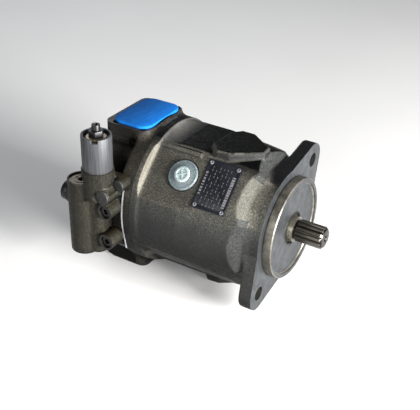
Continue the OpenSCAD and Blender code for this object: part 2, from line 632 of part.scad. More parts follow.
// ---- covers, plugs and nameplate -----------------------------------------------------------
module cover(x, y, r, spigot) {
    linear_extrude(3) round_rect(x, y, r);
    translate([0, 0, -3.4]) difference() { cylinder(h = 3.5, r = spigot - 0.3); translate([0, 0, -e]) cylinder(h = 2.5, r = spigot - 2.3); }
}
module suction_cover() { color([0.08, 0.42, 0.78]) translate([-port_x, 0, port_z + 0.02]) cover(42, 64, 11, suction_d / 2 + 3.5); }
module pressure_cover() {
    color([0.03, 0.03, 0.03]) mirror([0, 0, 1]) translate([-port_x, 0, port_z + 0.02]) cover(47, 83, 8, pressure_d / 2 + 3.5);
}
module drain_plug() {
    color([0.65, 0.72, 0.78]) on_flat(drain_x, drain_v, flat_w - 1.2) difference() {
        union() {
            cylinder(h = 3, r = 14.8);
            translate([0, 0, 3 - e]) cylinder(h = 2.2, r1 = 14.8, r2 = 12.2);
            translate([0, 0, -9]) cylinder(h = 9 + e, r = drain_r - 0.1);
        }
        translate([0, 0, 3.4]) cylinder(h = 4, r = 7);
    }
}
module second_drain_plug() {
    color([0.3, 0.3, 0.3]) on_flat(drain_x, drain_v, flat_w - 1.2, 225) difference() {
        union() { cylinder(h = 5, r = 13); translate([0, 0, -10]) cylinder(h = 10 + e, r = drain_r - 0.1); }
        translate([0, 0, 5]) hex_socket(5, 6);
    }
}
module nameplate() {
    color([0.06, 0.06, 0.07]) difference() {
        on_flat(plate_x, plate_v, flat_w) linear_extrude(0.7) round_rect(plate_l, plate_w, 1.6);
        nameplate_corners() cylinder(h = 8, r = 1.25, center = true);
    }
}
module nameplate_rivets() {
    color([0.8, 0.8, 0.8]) nameplate_corners() {
        translate([0, 0, -3.5]) cylinder(h = 4.3, r = 1.2);
        translate([0, 0, 0.7]) intersection() { cylinder(h = 1.1, r = 2.1); translate([0, 0, -1.6]) sphere(r = 2.75); }
    }
}

housing();
port_plate();
housing_screws();
port_plate_gasket();
shaft_seal();
seal_retaining_ring();
front_bearing_outer();
front_bearing_inner();
front_bearing_rollers();
rear_bearing_outer();
rear_bearing_inner();
rear_bearing_rollers();
drive_shaft();
shaft_retaining_ring();
cylinder_block();
pistons();
slippers();
retaining_plate();
guide_ball();
block_spring();
spring_rings();
valve_plate();
valve_plate_pin();
swashplate();
cradle_bearings();
control_cylinder();
control_piston();
bias_spring_guide();
bias_piston();
bias_spring();
control_valve_body();
valve_seal();
valve_screws();
valve_spool();
valve_spring();
valve_spring_seat();
spring_cap();
adjusting_screw();
lock_nut();
seal_washer();
blanking_plug();
valve_side_plugs();
valve_end_plug();
gauge_plugs();
suction_cover();
pressure_cover();
drain_plug();
second_drain_plug();
nameplate();
nameplate_rivets();
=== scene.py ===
"""The look of an axial piston pump: rounded castings with machined faces, fasteners, covers and plate.

Shapes are worked out in millimetres in the row frame (+X along the shaft, +Z to the suction port) and
turned into metres when a mesh is made. A casting is a field of signed distances, meshed on a grid, and
then machined with boolean cutters, as the real one is.
"""
import json
import math

import bmesh
import bpy
import numpy as np
from mathutils import Matrix, Vector


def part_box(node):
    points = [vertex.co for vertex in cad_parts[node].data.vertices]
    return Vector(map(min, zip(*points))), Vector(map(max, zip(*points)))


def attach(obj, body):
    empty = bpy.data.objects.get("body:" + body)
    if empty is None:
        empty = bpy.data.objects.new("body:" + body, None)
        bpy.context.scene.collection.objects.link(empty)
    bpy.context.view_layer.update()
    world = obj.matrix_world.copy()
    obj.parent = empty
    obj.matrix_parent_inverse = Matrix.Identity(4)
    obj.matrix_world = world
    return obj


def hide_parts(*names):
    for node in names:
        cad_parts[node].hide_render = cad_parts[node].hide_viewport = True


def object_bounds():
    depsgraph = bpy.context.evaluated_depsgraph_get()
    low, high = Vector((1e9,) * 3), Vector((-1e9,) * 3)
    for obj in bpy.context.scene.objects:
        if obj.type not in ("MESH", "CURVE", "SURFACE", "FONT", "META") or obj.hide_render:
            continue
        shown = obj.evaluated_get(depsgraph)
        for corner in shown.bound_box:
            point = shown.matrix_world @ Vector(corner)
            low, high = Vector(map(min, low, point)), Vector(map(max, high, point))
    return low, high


MM = 0.001
R2 = math.sqrt(2)

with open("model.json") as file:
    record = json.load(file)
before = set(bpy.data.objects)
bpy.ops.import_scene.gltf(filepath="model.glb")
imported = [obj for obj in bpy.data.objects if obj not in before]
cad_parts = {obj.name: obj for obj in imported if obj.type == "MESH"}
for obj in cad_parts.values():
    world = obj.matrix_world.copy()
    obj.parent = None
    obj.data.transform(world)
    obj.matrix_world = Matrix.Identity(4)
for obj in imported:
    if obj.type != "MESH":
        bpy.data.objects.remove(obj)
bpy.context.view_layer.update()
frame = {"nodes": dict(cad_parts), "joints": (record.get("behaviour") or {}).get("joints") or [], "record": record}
nodes = frame["nodes"]
record = frame["record"]
mounts = {m["name"]: m for m in record["mounts"]}
joints = {j["name"]: j for j in frame["joints"]}
body_of_node = {n: b for b, members in record["behaviour"]["bodies"].items() for n in members}


def span(node):
    """Lowest and highest corner of a CAD node, in millimetres."""
    lo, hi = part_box(node)
    return lo / MM, hi / MM


# ---- meshes --------------------------------------------------------------------------------------
def add_object(name, verts_mm, faces):
    mesh = bpy.data.meshes.new(name)
    mesh.from_pydata([tuple(v) for v in np.asarray(verts_mm) * MM], [], faces)
    obj = bpy.data.objects.new(name, mesh)
    bpy.context.scene.collection.objects.link(obj)
    return obj


def finish_piece(obj, node, materials, smooth_angle=32.0):
    """Shades obj smooth between edges sharper than smooth_angle, and lets it stand for its CAD node."""
    bm = bmesh.new()
    bm.from_mesh(obj.data)
    bmesh.ops.remove_doubles(bm, verts=bm.verts, dist=1e-7)
    bmesh.ops.dissolve_degenerate(bm, dist=1e-7, edges=bm.edges)
    limit = math.radians(smooth_angle)
    for face in bm.faces:
        face.smooth = True
    for edge in bm.edges:
        edge.smooth = edge.is_manifold and edge.calc_face_angle(0.0) < limit
    bm.to_mesh(obj.data)
    bm.free()
    obj.data.materials.clear()
    for m in materials:
        obj.data.materials.append(m)
    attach(obj, body_of_node[node])
    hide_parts(node)
    return obj


def face_table(obj):
    """Centres in millimetres and normals of obj's faces, as arrays."""
    n = len(obj.data.polygons)
    centres, normals = np.zeros(3 * n), np.zeros(3 * n)
    obj.data.polygons.foreach_get("center", centres)
    obj.data.polygons.foreach_get("normal", normals)
    return centres.reshape(-1, 3) / MM, normals.reshape(-1, 3)


def set_faces(obj, material, chosen):
    """Gives the chosen faces one of the materials that obj has."""
    index = list(obj.data.materials).index(material)
    for i in np.flatnonzero(chosen):
        obj.data.polygons[int(i)].material_index = index


def evaluated(obj):
    """Replaces obj's mesh with the result of its modifiers."""
    depsgraph = bpy.context.evaluated_depsgraph_get()
    mesh = bpy.data.meshes.new_from_object(obj.evaluated_get(depsgraph))
    obj.modifiers.clear()
    old, obj.data = obj.data, mesh
    bpy.data.meshes.remove(old)


def combine(obj, tool, how):
    """Boolean of obj with tool, which is then removed."""
    mod = obj.modifiers.new(how, "BOOLEAN")
    mod.operation = how
    mod.object = tool
    mod.solver = "MANIFOLD"
    evaluated(obj)
    bpy.data.objects.remove(tool)


def cut(obj, *tools):
    for tool in tools:
        combine(obj, tool, "DIFFERENCE")


def lathe(profile, origin=(0, 0, 0), axis=(1, 0, 0), steps=96):
    """Closed solid of revolution from [distance along the axis, radius] points that start and end at radius 0."""
    axis = Vector(axis).normalized()
    turn = axis.to_track_quat("X", "Z").to_matrix()
    verts, rings = [], []
    for along, radius in profile:
        if radius < 1e-6:
            rings.append([len(verts)])
            verts.append(Vector((along, 0, 0)))
            continue
        rings.append(list(range(len(verts), len(verts) + steps)))
        for i in range(steps):
            a = 2 * math.pi * i / steps
            verts.append(Vector((along, radius * math.cos(a), radius * math.sin(a))))
    faces = []
    for low, high in zip(rings, rings[1:]):
        for i in range(steps):
            j = (i + 1) % steps
            if len(low) == 1:
                faces.append((low[0], high[j], high[i]))
            elif len(high) == 1:
                faces.append((low[i], low[j], high[0]))
            else:
                faces.append((low[i], low[j], high[j], high[i]))
    origin = Vector(origin)
    obj = add_object("tool", [origin + turn @ v for v in verts], faces)
    bm = bmesh.new()
    bm.from_mesh(obj.data)
    bmesh.ops.recalc_face_normals(bm, faces=bm.faces)
    bm.to_mesh(obj.data)
    bm.free()
    return obj


def rod(start, axis, length, radius, steps=64):
    return lathe([(0, 0), (0, radius), (length, radius), (length, 0)], start, axis, steps)


def block(lo, hi):
    xs, ys, zs = zip(lo, hi)
    verts = [(x, y, z) for x in xs for y in ys for z in zs]
    faces = [(0, 1, 3, 2), (4, 6, 7, 5), (0, 4, 5, 1), (2, 3, 7, 6), (0, 2, 6, 4), (1, 5, 7, 3)]
    return add_object("tool", verts, faces)


# ---- fields for the castings -----------------------------------------------------------------------
def both(a, b, round_by=0.0):
    """Intersection of two fields, with its edge rounded over about round_by millimetres."""
    if round_by <= 0:
        return np.maximum(a, b)
    h = np.maximum(round_by - np.abs(a - b), 0.0) / round_by
    return np.maximum(a, b) + h * h * round_by / 4


def either(a, b, fillet=0.0):
    """Union of two fields, with a fillet of about that size between them."""
    return -both(-a, -b, fillet)


def between(t, low, high):
    return np.maximum(low - t, t - high)


def round_box(u, v, half_u, half_v, radius):
    """Distance to a rectangle with round corners, in two dimensions."""
    du, dv = np.abs(u) - half_u + radius, np.abs(v) - half_v + radius
    outside = np.hypot(np.maximum(du, 0), np.maximum(dv, 0))
    return outside + np.minimum(np.maximum(du, dv), 0) - radius


def two_ears(v, w, r_disc, r_tip, reach):
    """Distance to a disc that tapers to two round ears on the v axis, in two dimensions."""
    v, w = np.abs(v), np.abs(w)
    b = (r_disc - r_tip) / reach
    a = math.sqrt(1 - b * b)
    side = v * a - w * b
    flank = w * a + v * b - r_disc
    tip = np.hypot(w, v - reach) - r_tip
    disc = np.hypot(w, v) - r_disc
    return np.where(side < 0, disc, np.where(side > a * reach, tip, flank))


def polygon_field(x, y, points):
    """Distance to a closed polygon, negative inside, in two dimensions."""
    nearest = np.full(np.broadcast(x, y).shape, np.inf)
    inside = np.zeros(nearest.shape, bool)
    for (ax, ay), (bx, by) in zip(points, points[1:] + points[:1]):
        ex, ey = bx - ax, by - ay
        t = np.clip(((x - ax) * ex + (y - ay) * ey) / (ex * ex + ey * ey), 0, 1)
        nearest = np.minimum(nearest, np.hypot(x - ax - t * ex, y - ay - t * ey))
        if ay != by:
            crosses = (ay > y) != (by > y)
            inside ^= crosses & (x < ax + (y - ay) * ex / ey)
    return np.where(inside, -nearest, nearest)


def surface_net(field, low, step):
    """Vertices and quads where a sampled field crosses zero, with one vertex in each crossed cell."""
    inside = field < 0
    cells = [n - 1 for n in field.shape]
    count = np.zeros(cells, np.uint8)
    for i in (0, 1):
        for j in (0, 1):
            for k in (0, 1):
                count += inside[i:i + cells[0], j:j + cells[1], k:k + cells[2]]
    crossed = np.argwhere((count > 0) & (count < 8))
    index = np.full(cells, -1, np.int64)
    index[tuple(crossed.T)] = np.arange(len(crossed))
    total, hits = np.zeros((len(crossed), 3)), np.zeros((len(crossed), 1))
    unit = np.eye(3, dtype=int)
    for axis in range(3):
        u, v = unit[(axis + 1) % 3], unit[(axis + 2) % 3]
        for corner in (0 * u, u, v, u + v):
            a = field[tuple((crossed + corner).T)]
            b = field[tuple((crossed + corner + unit[axis]).T)]
            passes = (a < 0) != (b < 0)
            t = np.where(passes, a / np.where(passes, a - b, 1), 0)[:, None]
            total += passes[:, None] * (corner + t * unit[axis])
            hits += passes[:, None]
    verts = low + step * (crossed + total / hits)
    quads = []
    for axis in range(3):
        u, v = unit[(axis + 1) % 3], unit[(axis + 2) % 3]
        start = np.argwhere(np.diff(inside.astype(np.int8), axis=axis) != 0)
        four = [index[tuple((start - back).T)] for back in (0 * u, u, u + v, v)]
        quad = np.stack(four, 1)
        outward = inside[tuple(start.T)]
        quads.append(np.where(outward[:, None], quad, quad[:, ::-1]))
    return verts, np.concatenate(quads).tolist()


def casting(name, low, high, step, field):
    """Meshes field(x, y, z), in millimetres, over the box from low to high."""
    axes = [np.arange(a - 2 * step, b + 3 * step, step) for a, b in zip(low, high)]
    x, y, z = axes[0][:, None, None], axes[1][None, :, None], axes[2][None, None, :]
    values = np.broadcast_to(field(x, y, z), [len(a) for a in axes])
    verts, quads = surface_net(values, np.array([a[0] for a in axes]), step)
    return add_object(name, verts, quads)


# ---- materials --------------------------------------------------------------------------------------
def linear(hex_colour):
    """Linear colour from a display colour such as '8A8377'."""
    parts = [int(hex_colour[i:i + 2], 16) / 255 for i in (0, 2, 4)]
    return tuple(c / 12.92 if c <= 0.04045 else ((c + 0.055) / 1.055) ** 2.4 for c in parts) + (1.0,)


class Paint:
    """A principled material whose colour, roughness and bump come from procedural nodes."""

    def __init__(self, name, roughness, metallic=0.0, **sockets):
        self.material = bpy.data.materials.new(name)
        self.material.use_nodes = True
        self.tree = self.material.node_tree
        self.shader = self.tree.nodes["Principled BSDF"]
        self.shader.inputs["Roughness"].default_value = roughness
        self.shader.inputs["Metallic"].default_value = metallic
        for socket, value in sockets.items():
            self.shader.inputs[socket.replace("_", " ")].default_value = value
        self.coord = self.tree.nodes.new("ShaderNodeTexCoord").outputs["Object"]
        self.height = None

    def node(self, kind, **settings):
        made = self.tree.nodes.new(kind)
        for key, value in settings.items():
            setattr(made, key, value)
        return made

    def join(self, source, target):
        self.tree.links.new(source, target)

    def stretched(self, stretch):
        """Object coordinates scaled by stretch, for grain that runs one way."""
        mapping = self.node("ShaderNodeMapping")
        mapping.inputs["Scale"].default_value = stretch
        self.join(self.coord, mapping.inputs["Vector"])
        return mapping.outputs["Vector"]

    def noise(self, size_mm, detail=3.0, rough=0.55, stretch=None):
        """Noise whose features are about size_mm across."""
        made = self.node("ShaderNodeTexNoise")
        made.inputs["Scale"].default_value = 1 / (size_mm * MM)
        made.inputs["Detail"].default_value = detail
        made.inputs["Roughness"].default_value = rough
        self.join(self.stretched(stretch) if stretch else self.coord, made.inputs["Vector"])
        return made.outputs["Fac"]

    def ramp(self, factor, *stops):
        """Colour ramp of (position, colour or grey value) stops."""
        made = self.node("ShaderNodeValToRGB")
        elements = made.color_ramp.elements
        while len(elements) < len(stops):
            elements.new(0.5)
        for element, (position, value) in zip(elements, stops):
            element.position = position
            element.color = value if isinstance(value, tuple) else (value, value, value, 1)
        self.join(factor, made.inputs["Fac"])
        return made.outputs["Color"]

    def mix(self, factor, a, b, how="MIX"):
        """Mix of two colours, each a socket or a constant."""
        made = self.node("ShaderNodeMix", data_type="RGBA", blend_type=how)
        for socket, value in (("Factor", factor), ("A", a), ("B", b)):
            target = [s for s in made.inputs if s.name == socket and s.enabled][0]
            if isinstance(value, (int, float, tuple)):
                target.default_value = value
            else:
                self.join(value, target)
        return [s for s in made.outputs if s.enabled][0]

    def math(self, how, a, b=0.0, clamp=False):
        made = self.node("ShaderNodeMath", operation=how, use_clamp=clamp)
        for target, value in zip(made.inputs, (a, b)):
            if isinstance(value, (int, float)):
                target.default_value = value
            else:
                self.join(value, target)
        return made.outputs[0]

    def facing(self, x, y, z, start, end):
        """0 to 1 as the surface turns towards a direction of the object, from cosine start to end."""
        texture = self.node("ShaderNodeTexCoord")
        dot = self.node("ShaderNodeVectorMath", operation="DOT_PRODUCT")
        dot.inputs[1].default_value = (x, y, z)
        self.join(texture.outputs["Normal"], dot.inputs[0])
        scale = self.node("ShaderNodeMapRange", interpolation_type="SMOOTHSTEP")
        scale.inputs["From Min"].default_value = start
        scale.inputs["From Max"].default_value = end
        self.join(dot.outputs["Value"], scale.inputs["Value"])
        return scale.outputs["Result"]

    def edges(self, start=0.5, end=0.58):
        """0 to 1 on outer edges, where wear shows on the castings and a painted highlight on the covers."""
        pointiness = self.node("ShaderNodeNewGeometry").outputs["Pointiness"]
        return self.ramp(pointiness, (start, 0.0), (end, 1.0))

    def bump(self, height, depth_mm, strength=1.0):
        made = self.node("ShaderNodeBump")
        made.inputs["Distance"].default_value = depth_mm * MM
        made.inputs["Strength"].default_value = strength
        self.join(height, made.inputs["Height"])
        if self.height is not None:
            self.join(self.height, made.inputs["Normal"])
        self.height = made.outputs["Normal"]
        self.join(self.height, self.shader.inputs["Normal"])

    def colour(self, socket):
        self.join(socket, self.shader.inputs["Base Color"])

    def rough(self, socket):
        self.join(socket, self.shader.inputs["Roughness"])


def cast_paint(name, dark, mid, light, top, under_shade, grain=1.0, roughness=0.5, lower=None,
               specular=0.12, fade=None):
    """Oily sand casting: grain, stains, painted shade on upper faces and underside, and rubbed edges.

    lower is a colour of painted shade for the side below the valve. With fade, a pair of places along X in
    millimetres, the paint turns into the top colour of painted shade between them, instead of on upper faces.
    """
    p = Paint(name, roughness, 0.0, Specular_IOR_Level=specular)
    fine = p.noise(1.3 * grain, 4.0, 0.72)
    coarse = p.noise(3.6 * grain, 2.0, 0.5)
    stain = p.noise(26.0, 3.0, 0.6)
    base = p.ramp(fine, (0.3, linear(dark)), (0.5, linear(mid)), (0.7, linear(light)))
    base = p.mix(p.ramp(stain, (0.35, 0.0), (0.7, 0.5)), base, linear(dark))
    # painted shade: the lower side below the valve turns towards a darker, bluer grey
    if lower:
        base = p.mix(p.math("MULTIPLY", p.facing(0, -0.87, -0.5, 0.42, 0.84), 0.72), base, linear(lower))
    # painted shade: upper faces turn to the dark top colour
    if not fade:
        base = p.mix(p.facing(0, 0, 1, 0.8, 0.97), base, linear(top))
    # painted shade: the underside turns to a near-black colour
    base = p.mix(p.math("MULTIPLY", p.facing(0, 0, -1, -0.3, 0.5), 0.93), base, linear(under_shade))
    base = p.mix(p.math("MULTIPLY", p.edges(0.53, 0.62), 0.3), base, linear(light))
    # painted shade: with fade, the paint turns along X into the top colour
    if fade:
        start, end = fade
        split = p.node("ShaderNodeSeparateXYZ")
        p.join(p.coord, split.inputs["Vector"])
        along = p.math("DIVIDE", p.math("SUBTRACT", split.outputs["X"], start * MM), (end - start) * MM)
        base = p.mix(p.ramp(along, (0.0, 0.0), (1.0, 1.0)), base, linear(top))
    p.colour(base)
    p.rough(p.ramp(coarse, (0.3, roughness - 0.1), (0.7, roughness + 0.14)))
    p.bump(coarse, 0.25, 0.7)
    p.bump(fine, 0.16, 0.8)
    return p.material


def machined_paint(name, dark, light, roughness=0.34, metallic=0.85, line_mm=0.35, axis="X"):
    """Turned or milled metal: fine lines along circles about the shaft, with faint stains."""
    p = Paint(name, roughness, metallic)
    wave = p.node("ShaderNodeTexWave", wave_type="RINGS", rings_direction=axis, wave_profile="SIN")
    wave.inputs["Scale"].default_value = 1 / (line_mm * MM * 6.3)
    wave.inputs["Distortion"].default_value = 0.8
    wave.inputs["Detail"].default_value = 2.0
    p.join(p.coord, wave.inputs["Vector"])
    stain = p.noise(9.0, 4.0, 0.65)
    fine = p.noise(0.6, 2.0)
    base = p.ramp(stain, (0.34, linear(dark)), (0.66, linear(light)))
    p.colour(p.mix(0.15, base, p.ramp(fine, (0.3, 0.3), (0.7, 0.7)), "OVERLAY"))
    p.rough(p.ramp(stain, (0.3, roughness + 0.08), (0.7, roughness - 0.04)))
    p.bump(wave.outputs["Fac"], 0.02, 0.5)
    return p.material


def metal_paint(name, dark, light, roughness=0.3, metallic=1.0, stretch=None, size_mm=2.0, depth_mm=0.02):
    """Plain metal with streaks or mottling."""
    p = Paint(name, roughness, metallic)
    streak = p.noise(size_mm, 4.0, 0.6, stretch)
    p.colour(p.ramp(streak, (0.35, linear(dark)), (0.65, linear(light))))
    p.rough(p.ramp(streak, (0.3, roughness + 0.1), (0.7, max(roughness - 0.06, 0.05))))
    p.bump(streak, depth_mm, 0.6)
    return p.material


def spline_paint():
    """Shaft steel, mottled, and darker towards the roots of the grooves between the teeth."""
    p = Paint("shaft_steel", 0.3, 0.9)
    split = p.node("ShaderNodeSeparateXYZ")
    p.join(p.coord, split.inputs["Vector"])
    across = p.math("MULTIPLY", split.outputs["Y"], split.outputs["Y"])
    across = p.math("ADD", across, p.math("MULTIPLY", split.outputs["Z"], split.outputs["Z"]))
    radius = p.math("DIVIDE", p.math("SQRT", across), 0.016)
    groove = p.ramp(radius, (0.6, linear("1E1C19")), (0.657, linear("69665F")),
                    (0.7, linear("56534D")), (0.75, linear("827E73")))
    p.colour(p.mix(p.ramp(p.noise(2.5, 4.0), (0.4, 0.0), (0.75, 0.35)), groove, linear("4A453D")))
    p.bump(p.noise(0.5, 2.0, 0.5, (0.15, 1, 1)), 0.02, 0.5)
    return p.material


def rubber_paint(name, tone="0B0B0C"):
    p = Paint(name, 0.5, 0.0)
    p.colour(p.ramp(p.noise(1.5, 3.0), (0.3, linear(tone)), (0.7, linear("1B1B1C"))))
    p.bump(p.noise(0.5, 2.0), 0.03, 0.5)
    return p.material


def cover_paint(name, low, high, streak, roughness=0.38):
    """Moulded plastic cover with a faint rubbed streak pattern and a painted highlight on its rim, in the streak
    colour.
    """
    p = Paint(name, roughness, 0.0, Specular_IOR_Level=0.05)
    base = p.ramp(p.noise(5.0, 4.0, 0.6, (1, 0.35, 1)), (0.3, linear(low)), (0.7, linear(high)))
    # painted highlight: the rim turns to the paler streak colour
    p.colour(p.mix(p.math("MULTIPLY", p.edges(0.52, 0.6), 0.45), base, linear(streak)))
    p.rough(p.ramp(p.noise(2.0, 3.0), (0.3, roughness - 0.06), (0.7, roughness + 0.12)))
    p.bump(p.noise(0.8, 2.0), 0.03, 0.4)
    return p.material


def pale_plug_paint(name="pale_plastic", low="495357", high="646E71"):
    """Milky translucent plastic."""
    p = Paint(name, 0.3, 0.0, Subsurface_Weight=0.3, Subsurface_Scale=0.004)
    cloud = p.noise(2.2, 4.0, 0.6)
    p.colour(p.ramp(cloud, (0.3, linear(low)), (0.7, linear(high))))
    p.bump(p.noise(0.7, 2.0), 0.04, 0.4)
    return p.material


def black_paint(name, low="0E0E10", high="26262A", roughness=0.35):
    p = Paint(name, roughness, 0.3)
    p.colour(p.ramp(p.noise(1.2, 4.0), (0.35, linear(low)), (0.7, linear(high))))
    p.bump(p.noise(0.5, 2.0), 0.02, 0.5)
    return p.material


def floor_paint():
    p = Paint("studio_floor", 0.9, 0.0)
    p.colour(p.ramp(p.noise(400.0), (0.3, 0.62), (0.7, 0.65)))
    return p.material


PAINTS = {
    "cast_iron": cast_paint("cast_iron", "1C1B19", "3D3C37", "67655C", "070708", "030303", lower="1C1F21"),
    "cast_iron_dark": cast_paint("cast_iron_dark", "0E0D0B", "23211D", "413E37", "0C0B0A", "030303"),
    "cast_valve": cast_paint("cast_valve", "0D0D0A", "201F1A", "3F3D33", "1C1810", "050504", 0.9, 0.42),
    "black_steel": black_paint("black_steel", "050506", "101012", 0.4),
    "rubber_black": rubber_paint("rubber_black"),
    "bearing_steel": metal_paint("bearing_steel", "A9ABAE", "D9DBDD", 0.16),
    "shaft_steel": spline_paint(),
    "machined_steel": metal_paint("machined_steel", "77787A", "A6A7A8", 0.32),
    "spring_steel": metal_paint("spring_steel", "3A3B40", "5E6066", 0.35),
    "bronze": metal_paint("bronze", "7D5A2C", "B38A4C", 0.3),
    "cap_aluminium": metal_paint("cap_aluminium", "2C2C2F", "424447", 0.5, 0.35, (1, 1, 0.04), 1.6, 0.03),
    "aged_washer": metal_paint("aged_washer", "6F6250", "A99B84", 0.4, 0.8),
    "oiled_plug": metal_paint("oiled_plug", "1E1A12", "4A3D22", 0.22, 0.6),
    "blue_plastic": cover_paint("blue_plastic", "08539F", "1065B6", "2E7BC4", 0.6),
    "black_plastic": cover_paint("black_plastic", "101011", "1C1C1E", "3A3A3C"),
    "pale_plastic": pale_plug_paint(),
    "plate_black": black_paint("plate_black", "101116", "23252D", 0.3),
    "rivet_steel": metal_paint("rivet_steel", "55575A", "808285", 0.32, 0.7),
}
FACE = machined_paint("machined_face", "1A1C1E", "303336", 0.44, 0.35)
PILOT = machined_paint("turned_pilot", "3A3833", "67645C", 0.4, 0.5)
BORE = machined_paint("bored_iron", "191816", "33322E", 0.5, 0.3)
PAD_PAINT = machined_paint("milled_pad", "36383B", "505256", 0.42, 0.5, 0.6, "Z")
# painted highlight: a bright line along the thin flange rim beside the valve's pad
RIM_HIGHLIGHT = machined_paint("flange_rim_highlight", "8E9092", "B6B8BA", 0.4, 0.2)
# painted highlight: a lighter casting for the lit front of the round band
BAND_FRONT_HIGHLIGHT = cast_paint("band_front_highlight", "3D3B35", "5F5C53", "827E72", "43413A", "0A0A0A", 0.8, 0.45)
# painted highlight: a lighter grey on the rear of the top, fading along X into black painted shade
RAMP_HIGHLIGHT_FADE = cast_paint("ramp_highlight_into_shade", "3C3C3B", "5B5A58", "74736F", "060606", "0A0A0A", 0.8, 0.42, fade=(-124, -104))
# painted shade: a near-black casting for upper faces and the port plate's lowest part
BLACK_SHADE = cast_paint("black_casting_shade", "050505", "0D0D0C", "1F1E1C", "060606", "020202", 1.0, 0.45, specular=0.04)
# a cooler, darker grey casting; on the front chamfers outside the bright sector it is painted shade
COOL_AND_CHAMFER_SHADE = cast_paint("cool_casting_and_chamfer_shade", "171817", "2C2D2C", "4B4D4B", "111212", "050505", 0.9, 0.5)
# painted highlight: a lighter casting for lit facets, chamfer strips and the lip beside the nameplate
FACET_HIGHLIGHT = cast_paint("lit_facet_highlight", "2B2A27", "45443E", "65635A", "302F2A", "0A0A0A", 0.8, 0.45)
# painted shade: black for recesses and for sides turned from the light
SHADE = black_paint("painted_recess_shade", "0B0B0B", "1A1917", 0.55)
PALE_CENTRE = pale_plug_paint("pale_plastic_centre", "76858A", "A2AFAF")
MARK = Paint("plate_marks", 0.45, 0.0)
MARK.colour(MARK.ramp(MARK.noise(0.8, 3.0), (0.3, linear("464749")), (0.7, linear("727375"))))

slot_of_node = {s["node"]: s["material_slot"] for s in record["subparts"]}
for node_name, node_object in nodes.items():
    node_object.data.materials.clear()
    node_object.data.materials.append(PAINTS[slot_of_node[node_name]])


# ---- housing ------------------------------------------------------------------------------------------
house_lo, house_hi = span("housing")
plate_lo, plate_hi = span("port_plate")
seal_lo, seal_hi = span("shaft_seal")
front_lo, front_hi = span("front_bearing_outer")
drain_lo, drain_hi = span("drain_plug")
_, screw_hi = span("housing_screws")
bolts = mounts["mounting_flange"]["dims"]
pilot = mounts["pilot"]["dims"]

BODY_R = house_hi.y - 0.05      # round band at the rear of the casting
CAST_R = BODY_R - 1             # round casting in front of it
FLAT_W = 68.0                   # the four flats at 45 degrees to the ports
TOP_FLAT = 70.0                 # flats above and below the shaft
BAND_X = house_lo.x + 5.4       # front of the band
RAMP_L = 24.0                   # from the upper and lower flats up to the band
TAPER_X = -79.0                 # where the casting starts to taper
TAPER = (CAST_R - (BODY_R - 10)) / -TAPER_X
CHAMFER_X = -26.0               # front chamfers
CHAMFER = math.radians(40)
EAR_T = 13.0
EAR_R = 16.8
DISC_R = 58.0
BOSS_TOP = 74.5
BOSS_EDGE = 2.0                 # chamfer round its top
LOW_BOSS_SHIFT = -5.0
BOSS_SIDE = (0.565, -0.826)     # the way the upper boss's side with black painted shade faces
BRIGHT_SECTOR = 0.955           # cosine about the W axis of the front chamfer that gets a painted highlight
BOSS = [(-75, -16), (-64, -28), (-51, -27), (-32, -14), (-24, -7), (-25, 6), (-34, 12), (-50, 24), (-64, 24),
        (-73, 14)]
PILOT_NECK = 0.6                # relief at the pilot's root
PILOT_EDGE = 0.9
RECESS = 2.4                    # in the pilot's face
RECESS_R = 45.6
CAVITY_R = 48.0
CAVITY_X = -34.0
POCKET_X = -31.0                # front end of the side pockets
SCREW_TAP_R = 5.05
SCREW_TAP_DEPTH = 20.0
SCREW_HEAD_R = 8.0
SIDE_POCKET_R = 10.4
SIDE_Y = 54.0
PIVOT_X = joints["swash_tilt"]["pos_m"][0] / MM
CRADLE_R = 34.0
CRADLE_Z = 39.0
DRAIN_X = (drain_lo.x + drain_hi.x) / 2
DRAIN_V = 2.0
DRAIN_R = 8.25
SPOT_R = 16.0
SPOT_W = FLAT_W - 1.2
V_AXIS = Vector((0, 1, 1)) / R2
W_AXIS = Vector((0, -1, 1)) / R2
X_AXIS = Vector((1, 0, 0))


def housing_field(x, y, z):
    r = np.hypot(y, z)
    v, w = (y + z) / R2, (z - y) / R2
    body = r - CAST_R + TAPER * np.maximum(x - TAPER_X, 0)
    body = both(body, np.maximum(np.abs(v), np.abs(w)) - FLAT_W, 0.8)
    ramp = np.clip((BAND_X + RAMP_L - x) / RAMP_L, 0, 1)
    body = both(body, np.abs(z) - TOP_FLAT - (BODY_R - TOP_FLAT) * ramp * ramp, 1)
    for h in (y, -y, z, -z, v, -v, w, -w):
        body = both(body, (x - CHAMFER_X) * math.sin(CHAMFER) + (h - FLAT_W) * math.cos(CHAMFER), 0.4)
    body = both(body, between(x, house_lo.x - 2, 1))
    for side, top, shift in ((1, BOSS_TOP, 0), (-1, BOSS_TOP + 1, LOW_BOSS_SHIFT)):
        outline = polygon_field(x - shift, y, BOSS)
        boss = both(outline, (outline + side * z - top + BOSS_EDGE) / R2, 0.8)
        boss = both(both(boss, side * z - top, 0.8), 52 - side * z)
        body = either(body, boss, 2)
    lip = both(both(between(v, 22.5, 27), w - FLAT_W - 1.4, 1), between(x, BAND_X - 2, -77), 1)
    body = either(body, np.maximum(lip, FLAT_W - 8 - w), 1.2)
    ears = two_ears(v, w, DISC_R - 2, EAR_R, bolts["pcd_mm"] / 2)
    flange = both(np.minimum(ears, r - DISC_R), between(x, -EAR_T, 2), 1.5)
    body = either(body, flange, 5)
    band = both(r - BODY_R, between(x, house_lo.x - 2, BAND_X), 1.2)
    body = either(body, band, 6)
    return np.where(x < BAND_X + 20, np.maximum(body, r - BODY_R), body)


def drain_cutters(side):
    """Bore and spot face of one drain port; side is 1 for the upper port."""
    centre = X_AXIS * DRAIN_X + V_AXIS * DRAIN_V * side
    out = W_AXIS * side
    return [rod(centre + out * 40, out, 40, DRAIN_R), rod(centre + out * SPOT_W, out, 14, SPOT_R, 96)]


